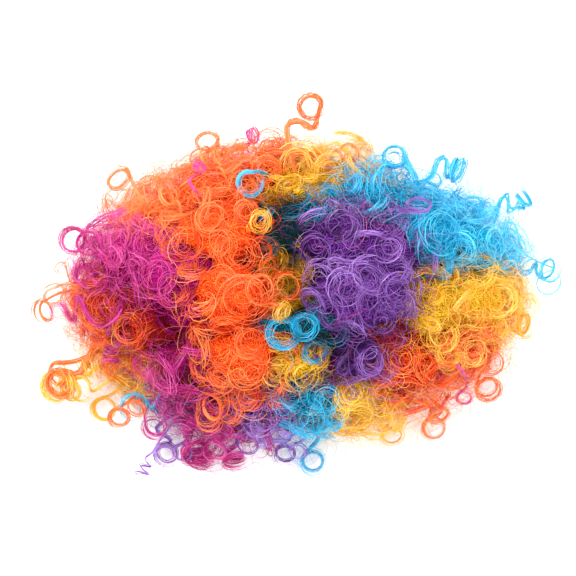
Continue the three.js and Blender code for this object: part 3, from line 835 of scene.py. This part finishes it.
for number, patch in enumerate(patch_names):
    rng = np.random.default_rng(100 + number)
    dye = patch.split("_")[0]
    over = overhang.get(patch, usual_overhang)
    out_to = reach_out.get(patch, usual_reach)
    bodies = []

    shown = np.array(shown_ringlets.get(patch, np.zeros((0, 3))), float)
    own = np.flatnonzero(tuft_patch == number)
    found = [surface_at(place, own) for place in from_photo(shown[:, :2])]
    shown_at = np.array([point for point, _ in found]).reshape(-1, 3) + [0, 0, raised.get(patch, 0)]
    shown_up = np.array([normal for _, normal in found]).reshape(-1, 3)
    lean = unit(shown_up + [0, 0, 0.45] + 0.5 * rng.normal(size=shown_at.shape))
    paths = whorl_paths(
        shown_at, lean, np.abs(shown[:, 2]) * photo_pixel, shown[:, 2] < 0, shown_fibres, rng)
    # The ringlets that stand out on top are painted a little lighter, as painted light.
    bodies.append(locks_of(paths, shown_fibres, 0.04, patch, dye, rng))

    points, normals = outside_of(number, ringlet_sowing, (-over, 6 * mm), 3 * mm, rng)
    chosen = thin_out(points, shown_at, ringlet_spacing, rng)
    as_ringlet = rng.uniform(size=len(chosen)) < ringlet_share.get(patch, usual_ringlets)
    points = points + rim_offsets(points, normals, (-3 * mm, out_to), rng)
    at = chosen[as_ringlet]
    lean = unit(normals[at] + 0.75 * rng.normal(size=(len(at), 3)))
    radius = ringlet_radius * rng.uniform(0.75, 1.2, len(at))
    tight = rng.uniform(size=len(at)) < tight_share
    paths = whorl_paths(points[at], lean, radius, tight, ringlet_fibres, rng)
    bodies.append(locks_of(paths, ringlet_fibres, 0, patch, dye, rng))
    at = chosen[~as_ringlet]
    paths = wave_paths(points[at], normals[at], wave_fibres, rng)
    bodies.append(locks_of(paths, wave_fibres, 0, patch, dye, rng))

    points, normals = outside_of(number, fibre_sowing, (-over - 4 * mm, 2 * mm), 1 * mm, rng)
    count = int(len(points) * fibre_sowing**2 / wisps[-1] * more_wisps.get(patch, 1))
    picked = rng.integers(0, len(points), count)
    bend = hooks(wisps[1], count, rng)
    up = unit(normals[picked] + 0.5 * rng.normal(size=(count, 3)))
    foot = points[picked] + normals[picked] * rng.uniform(-7, 4, (count, 1)) * mm
    foot = foot + rim_offsets(foot, normals[picked], (-2 * mm, out_to), rng)
    paths = fibre_waves(wisps, foot, up, rng, bend)
    thickness = rng.uniform(*wisp_thickness, count)
    scatter = rng.normal(size=count)
    first = 0
    for other, share in strays.get(patch, {}).items():
        last = first + int(share * count)
        tone = dye_tone[other] - 0.1 + dye_contrast[other] * scatter[first:last]
        stray_hair[other].append(lock_body(paths[first:last], tone, thickness[first:last], 1, patch))
        first = last
    tone = dye_tone[dye] - 0.04 + dye_contrast[dye] * scatter[first:]
    bodies.append(lock_body(paths[first:], tone, thickness[first:], 1, patch))

    # Locks that lie on the table under the patch's edge, where light still reaches them.
    beneath = points * [1, 1, 0] + [0, 0, foot_height]
    beneath = beneath[(depth_in_cap(beneath, 3 * mm) >= 1) & (normals[:, 2] > 0.1)]
    count = int(len(beneath) * fibre_sowing**2 / strays_at_foot[-1])
    if count:
        foot = beneath[rng.integers(0, len(beneath), count)]
        up = unit([0, 0, 1] + 0.06 * rng.normal(size=(count, 3)))
        paths = fibre_waves(strays_at_foot, foot, up, rng)
        # These locks are painted lighter than their dye, as painted light.
        tone = dye_tone[dye] + 0.3 + dye_contrast[dye] * rng.normal(size=count)
        bodies.append(lock_body(paths, tone, rng.uniform(*foot_thickness, count), strip_flat, patch))

    # The haze of the finest fibres round the rim.
    at_rim = np.flatnonzero(normals[:, 2] < 0.55)
    if len(at_rim):
        picked = rng.choice(at_rim, int(len(at_rim) * fibre_sowing**2 / halo[-1]))
        count = len(picked)
        up = unit([0, 0, 1] + 0.4 * rng.normal(size=(count, 3)))
        foot = points[picked] + rim_offsets(points[picked], normals[picked], (0, out_to + halo_reach), rng)
        paths = fibre_waves(halo, foot, up, rng)
        tone = dye_tone[dye] + 0.1 + dye_contrast[dye] * rng.normal(size=count)
        bodies.append(lock_body(paths, tone, rng.uniform(*halo_thickness, count), 1, patch))
    dress(f"locks_{patch}", patch, dye, bodies, stranded, False)

for dye, bodies in stray_hair.items():
    dress(f"stray_wisps_{dye}", "", dye, bodies, stranded, False)

# Loose curls
# Locks that have come away from the mass, each on a stem of its own that winds into a coil. They
# lie or hang round the rim, and the upright one stands off the orange hair at the back.
loose_steps = 30
loose_light = {"orange": 0.2, "magenta": 0.1, "yellow": 0.0, "blue": 0.1, "purple": 0.26}
loose_radius = 8 * mm
loose_pitch = 4.8 * mm
loose_lift = 4.5 * mm
root_depth = 7 * mm
fibre_room = 0.24 * mm
# Columns: fibres, the coil's middle east, north and up, as shares of the hair's reach, its size, turns,
# lean and bearing, and the stem's route, right and down in the photograph's pixels.
loose_curls = {
    "orange_back": [
        (26, 0.08, 1.13, 0.42, 0.9, 1.1, 20, -90, [(293, 168), (287, 128), (299, 121), (313, 127)]),
        (10, -0.36, 0.93, 0.3, 0.95, 1.3, 30, 110, [(226, 172), (215, 158)]),
        (12, -0.74, 0.7, 0.24, 1.0, 1.3, 40, 130, [(150, 208), (136, 190)])],
    "blue_right": [
        (10, 1.09, 0.13, 0.2, 0.9, 1.6, 40, 340, [(510, 258), (530, 274), (540, 260)]),
        (12, 0.98, 0.56, 0.3, 0.8, 1.8, 75, 40, [(492, 220), (507, 195), (514, 208)]),
        (16, 0.69, 0.74, 0.4, 0.95, 2.2, 70, -20, [(402, 186), (430, 178), (438, 161), (446, 156)]),
        (12, 0.43, 0.82, 0.5, 0.95, 1.4, 15, 90, [(380, 186), (382, 168)])],
    "yellow_right": [(10, 0.99, -0.22, 0.2, 0.9, 1.3, 50, 350, [(500, 308), (514, 326)])],
    "orange_right": [
        (11, 0.61, -0.87, 0.12, 0.95, 1.4, 10, 300, [(430, 398), (446, 414)]),
        (11, 0.84, -0.62, 0.14, 1.0, 2.0, 25, 300, [(468, 360), (484, 372)])],
    "yellow_front": [(10, 0.43, -0.92, 0.12, 0.9, 1.3, 30, 290, [(384, 408), (392, 424)])],
    "blue_front": [(15, 0.09, -1.08, 0.12, 1.0, 1.5, 15, 280, [(312, 428), (319, 442), (311, 452)])],
    "purple_front": [(10, -0.03, -1.03, 0.12, 0.85, 1.3, 30, 270, [(282, 424), (291, 440)])],
    "magenta_front": [
        (24, -0.4, -1.05, 0.16, 0.95, 1.8, 55, 265, [(195, 422), (188, 440)]),
        (20, -0.25, -1.06, 0.14, 0.8, 1.6, 60, 280, [(227, 428), (237, 446)])],
    "purple_side": [(13, -0.54, -1.03, 0.12, 0.9, 1.5, 20, 250, [(168, 418), (153, 433), (168, 444)])],
    "yellow_left": [
        (18, -1.01, -0.6, 0.13, 1.1, 1.8, 30, 210, [(92, 352), (78, 374), (64, 378)]),
        (15, -0.81, -0.75, 0.1, 0.95, 1.4, 10, 240, [(120, 386), (108, 396)])],
    "orange_left": [(11, -1.06, -0.13, 0.18, 0.85, 1.5, 40, 200, [(72, 290), (54, 294)])],
    "magenta_left": [(14, -0.93, 0.31, 0.3, 1.1, 1.6, 15, 170, [(102, 256), (86, 244)])],
}


def smooth_line(knots, steps):
    """Even steps along a smooth line through knots. Between two knots it is the cubic whose slope
    at each of them is half of the way from the knot before to the knot after."""
    ends = np.concatenate([2 * knots[:1] - knots[1:2], knots, 2 * knots[-1:] - knots[-2:-1]])
    share = np.linspace(0, len(knots) - 1, 20 * len(knots))
    first = np.minimum(share.astype(int), len(knots) - 2)
    t = (share - first)[:, None]
    a, b, c, d = (ends[first + i] for i in range(4))
    line = b + 0.5 * t * (c - a + t * (2 * a - 5 * b + 4 * c - d + t * (3 * b - a - 3 * c + d)))
    far = np.concatenate([[0], np.cumsum(np.linalg.norm(np.diff(line, axis=0), axis=1))])
    even = np.linspace(0, far[-1], steps)
    return np.stack([np.interp(even, far, line[:, i]) for i in range(3)], axis=-1)


def axis_towards(lean, bearing):
    """A direction that leans from upright by an angle towards a bearing from +X, in degrees."""
    lean, bearing = np.radians([lean, bearing])
    return np.array([np.sin(lean) * np.cos(bearing), np.sin(lean) * np.sin(bearing), np.cos(lean)])


def stem_over_hair(route, beyond, lift):
    """Points over places given right and down in the photograph's pixels: a lift above the hair,
    or above a height where none lies below, with the first one rooted in the hair."""
    places = from_photo(route)
    top = np.maximum(oval_tops(places, beyond).max(axis=1), beyond) + lift
    top[0] -= lift + root_depth
    return np.concatenate([places, top[:, None]], axis=1)


def fan(line, out, axis, fibres, rng):
    """The fibres of a lock along a middle line. Each keeps its own place across the lock, which
    opens out towards the tip, and wavers and starts a little apart from the others."""
    spread = fibre_room * np.sqrt(fibres)
    along = np.linspace(0, 1, len(line))[:, None]
    place = rng.normal(size=(fibres, 1, 3))
    place = place / np.maximum(np.linalg.norm(place, axis=-1, keepdims=True) / 2, 1)
    waver = rng.uniform(0, 2 * np.pi, (fibres, 1, 2))
    open_out = spread * (0.7 + 0.7 * along**2)
    swing = 0.45 * mm * np.sin(along * 8 + waver)
    run = unit(np.gradient(line, axis=0))
    sideways = out * (place[..., :1] * open_out + swing[..., :1])
    lengthways = axis * (1.3 * place[..., 1:2] * open_out + swing[..., 1:])
    return line + sideways + lengthways + run * place[..., 2:] * 2.2 * spread


def loose_lock(stem, middle, axis, radius, turns, pitch, fibres, dye, rng):
    """A loose curl: a stem that runs on into a coil round a middle. The coil starts where a
    straight line from the stem's last point would touch it, and grows a little wider."""
    first, second = (direction[0] for direction in square_to(axis[None]))
    to_stem = stem[-1] - middle
    sideways = np.array([to_stem @ first, to_stem @ second])
    start = np.arctan2(sideways[1], sideways[0]) + np.arccos(min(1, radius / np.linalg.norm(sideways)))
    foot = middle - axis * turns * pitch / 2
    measures = np.array([[radius], [turns], [pitch], [start], [0.25]])
    coil = coils(foot[None], axis[None], *measures, int(8 * turns) + 2)[0][0]
    line = smooth_line(np.concatenate([stem, coil]), loose_steps)
    out = unit(np.cross(np.gradient(line, axis=0), axis) + 1e-9)
    paths = fan(line, out, axis, fibres, rng)
    tone = dye_tone[dye] + loose_light[dye] + dye_contrast[dye] * rng.normal(size=fibres)
    return lock_body(paths, tone, strip_widths(*loose_width, fibres, rng), strip_flat, "")


for patch, rows in loose_curls.items():
    rng = np.random.default_rng(500 + patch_names.index(patch))
    dye = patch.split("_")[0]
    bodies = []
    for fibres, east, north, height, size, turns, lean, bearing, route in rows:
        middle = np.array([east, north, height]) * hair_reach
        stem = stem_over_hair(route, middle[2], loose_lift)
        axis = axis_towards(lean, bearing)
        bodies.append(loose_lock(
            stem, middle, axis, loose_radius * size, turns, loose_pitch, fibres, dye, rng))
    dress(f"loose_curls_{patch}", patch, dye, bodies, stranded, False)

# Thin locks
# Thinner locks of a few fibres that have strayed from their patch and lie over the others or
# stick out between the loose curls, where the photograph shows them.
# Columns: dye, fibres, the stem's route and the coil's place, right and down in the photograph's
# pixels, the coil's radius in pixels, turns, lean and bearing in degrees, pixels of climb a turn.
thin_locks = [
    ("magenta", 8, [(445, 352), (462, 372), (471, 386)], (467, 400), 8, 1.3, 30, 270, 3),
    ("orange", 5, [(478, 345), (490, 352)], (495, 365), 12, 1.2, 15, 300, 4),
    ("blue", 5, [(505, 255), (520, 258)], (533, 266), 10, 1.2, 50, 300, 6),
    ("blue", 3, [(520, 250), (545, 262), (560, 268)], (553, 283), 12, 1.0, 20, 300, 4),
    ("blue", 14, [(272, 176), (258, 172)], (250, 184), 12, 0.85, 20, 200, 5),
    ("purple", 8, [(392, 222), (400, 212)], (417, 206), 12, 1.1, 60, 90, 4),
    ("magenta", 8, [(205, 200), (195, 190), (190, 180)], (200, 168), 6, 2.0, 60, 50, 5),
    ("magenta", 8, [(250, 155), (245, 142)], (253, 133), 7, 2.0, 60, 20, 6),
    ("magenta", 24, [(122, 292), (119, 316), (101, 326), (88, 317), (77, 297), (69, 321)], (54, 310),
     7, 0.6, 30, 120, 4),
    ("magenta", 10, [(115, 262), (100, 250)], (88, 242), 13, 1.4, 15, 90, 3),
    ("magenta", 9, [(105, 285), (95, 282)], (83, 275), 10, 1.8, 20, 90, 3),
    ("orange", 7, [(85, 288), (62, 284)], (50, 295), 12, 1.3, 35, 120, 4),
    ("orange", 4, [(78, 300), (66, 280)], (58, 268), 6, 0.8, 30, 120, 4),
    ("orange", 26, [(104, 340), (90, 350), (76, 374)], (56, 384), 13, 0.9, 20, 240, 4),
    ("orange", 12, [(96, 352), (72, 362)], (54, 374), 12, 1.0, 40, 200, 5),
    ("yellow", 12, [(100, 364), (82, 378)], (66, 392), 11, 1.4, 30, 220, 5),
    ("orange", 9, [(132, 388), (128, 402)], (116, 420), 10, 1.5, 25, 270, 5),
    ("orange", 8, [(152, 388), (142, 398)], (133, 410), 9, 1.1, 40, 250, 4),
    ("blue", 9, [(160, 392), (150, 410)], (133, 408), 14, 0.7, 20, 270, 4),
    ("magenta", 10, [(125, 335), (118, 345)], (110, 356), 8, 2.2, 70, 260, 8),
    ("purple", 8, [(178, 425), (186, 440)], (180, 455), 9, 1.2, 25, 270, 4),
    ("purple", 7, [(172, 422), (160, 440), (150, 455)], (142, 472), 6, 2.4, 80, 240, 9),
    ("purple", 7, [(300, 425), (305, 440)], (297, 455), 9, 1.2, 30, 250, 4),
    ("orange", 8, [(422, 398), (432, 410)], (441, 418), 11, 1.2, 45, 300, 4),
    ("orange", 6, [(325, 165), (335, 150)], (350, 152), 9, 1.0, 25, 60, 4),
    ("orange", 5, [(228, 185), (222, 170)], (209, 158), 13, 1.4, 55, 20, 6),
    ("orange", 4, [(215, 180), (200, 170)], (198, 154), 10, 1.2, 30, 120, 4),
    ("orange", 7, [(152, 215), (146, 198), (141, 184)], (138, 200), 8, 0.6, 60, 200, 5),
    ("orange", 9, [(182, 215), (178, 202)], (168, 198), 10, 1.3, 50, 30, 5),
    ("orange", 3, [(150, 208), (130, 200)], (113, 194), 13, 1.2, 40, 120, 4),
    ("blue", 6, [(418, 190), (428, 182)], (437, 177), 8, 1.5, 30, 60, 4),
    ("blue", 9, [(498, 224), (506, 200), (512, 192)], (520, 205), 9, 1.5, 80, -20, 14),
    ("orange", 10, [(225, 380), (222, 392)], (212, 406), 13, 1.3, 40, 200, 5),
    ("yellow", 10, [(112, 378), (92, 392)], (77, 390), 12, 0.9, 30, 200, 4),
    ("magenta", 12, [(190, 420), (183, 438)], (193, 455), 13, 1.8, 45, 300, 5),
    ("magenta", 12, [(215, 425), (222, 440)], (214, 452), 11, 1.6, 40, 240, 5),
    ("purple", 8, [(240, 425), (252, 436)], (246, 448), 10, 1.3, 30, 260, 5),
    ("magenta", 8, [(150, 400), (143, 415)], (152, 430), 11, 1.4, 30, 250, 5),
]
thin_beyond = 22 * mm
thin_lift = 7.5 * mm
thin_hair = {dye: [] for dye in dye_colours_and_shadow}
rng = np.random.default_rng(700)
for dye, fibres, route, place, radius, turns, lean, bearing, climb in thin_locks:
    stem = stem_over_hair(route + [place], thin_beyond, thin_lift)
    middle = stem[-1] + [0, 0, 2 * mm]
    axis = axis_towards(lean, bearing)
    thin_hair[dye].append(loose_lock(
        stem[:-1], middle, axis, radius * photo_pixel, turns, climb * photo_pixel, fibres, dye, rng))
for dye, bodies in thin_hair.items():
    dress(f"thin_locks_{dye}", "", dye, bodies, stranded, False)

# Floor, light and camera
# A pale sweep of paper, soft light from all round and above, and a camera straight above the wig
# at the photograph's angle and framing.
floor_half = 3.0
floor_height = -0.2 * mm
floor_points = np.array([[-1, -1], [1, -1], [1, 1], [-1, 1]]) * floor_half
floor_points = np.concatenate([floor_points, np.full((4, 1), floor_height)], axis=1)
paper, tree, _ = new_material("white_paper_sweep")
sheet = node(tree, "ShaderNodeBsdfPrincipled", inputs={
    "Base Color": linear("#f7f7f7"), "Roughness": 0.9})
node(tree, "ShaderNodeOutputMaterial", inputs={"Surface": sheet.outputs["BSDF"]})
floor = make_piece("floor", floor_points, [np.array([[0, 1, 2, 3]])], paper, False)

world = bpy.data.worlds.new("soft_surround")
bpy.context.scene.world = world
world.use_nodes = True
surround = world.node_tree.nodes["Background"].inputs
surround["Color"].default_value = (1.0, 1.0, 1.0, 1.0)
surround["Strength"].default_value = 1.0

softboxes = [("key_softbox", (-0.5, 0.8, 1.7), 1.2, 45), ("fill_softbox", (0.7, -0.6, 1.7), 1.4, 20)]
light_aim = Vector((0, 0, 0.05))
for name, place, size, power in softboxes:
    light = bpy.data.lights.new(name, "AREA")
    light.size = size
    light.energy = power
    lamp = bpy.data.objects.new(name, light)
    lamp.location = place
    lamp.rotation_mode = "QUATERNION"
    lamp.rotation_quaternion = (light_aim - Vector(place)).to_track_quat("-Z", "Y")
    bpy.context.scene.collection.objects.link(lamp)

frame_width = 576 * photo_pixel
mid_height = 0.06
camera_height = 1.7
sensor = 36
lens = bpy.data.cameras.new("camera")
lens.sensor_width = sensor
lens.lens = sensor * (camera_height - mid_height) / frame_width
lens.clip_end = 20
camera = bpy.data.objects.new("camera", lens)
camera.location = (-2.6 * mm, 1.3 * mm, camera_height)
bpy.context.scene.collection.objects.link(camera)
bpy.context.scene.camera = camera
bpy.context.scene.view_settings.view_transform = "Standard"
